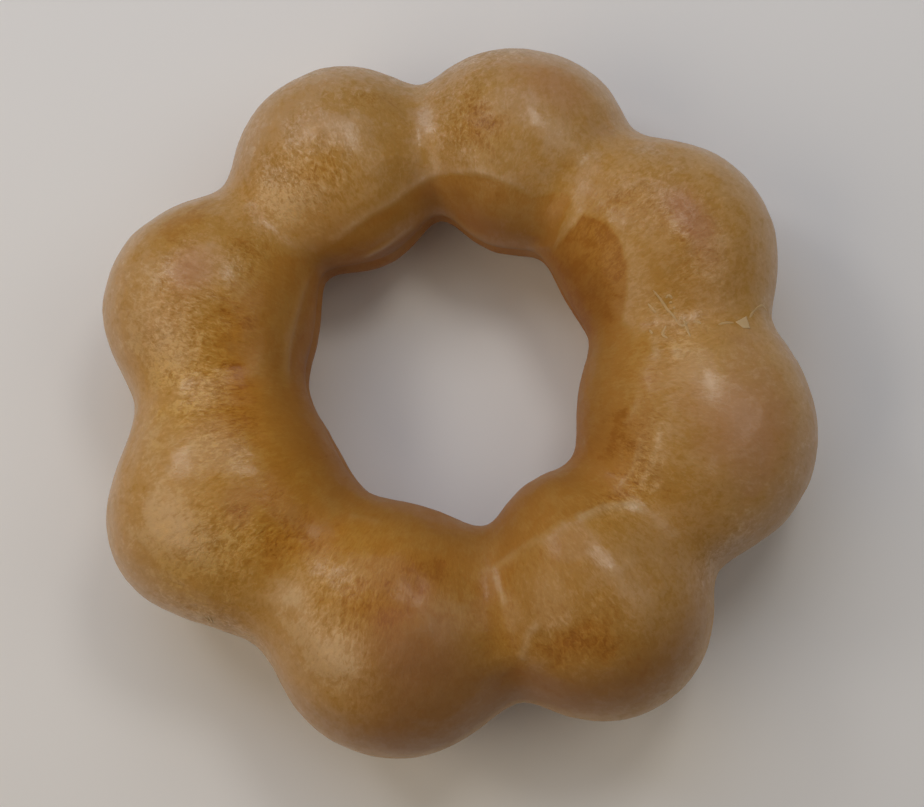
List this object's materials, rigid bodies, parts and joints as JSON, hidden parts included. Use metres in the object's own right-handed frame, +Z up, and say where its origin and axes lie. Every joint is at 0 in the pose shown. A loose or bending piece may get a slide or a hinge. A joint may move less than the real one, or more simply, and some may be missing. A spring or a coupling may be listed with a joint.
{
  "type": "glazed ring doughnut of joined dough balls",
  "caption": "Ring doughnut of uneven round dough balls fried into one piece round an open hole, under a thin, patchy sugar glaze. It lies flat on its underside.",
  "frame": {"origin": "on the surface that the doughnut lies on, under the middle of its overall width and length", "axes": "+Z up, along the axis of the hole; +X and +Y level, with the smaller balls towards +Y and the larger ones towards -Y"},
  "size_m": [0.0886, 0.0884, 0.0272],
  "materials": {
    "glazed_crust": "golden-brown fried crust under a thin, half-clear sugar glaze with a soft gloss"
  },
  "bodies": {
    "root": {"doughnut": "glazed_crust"}
  },
  "joints": []
}
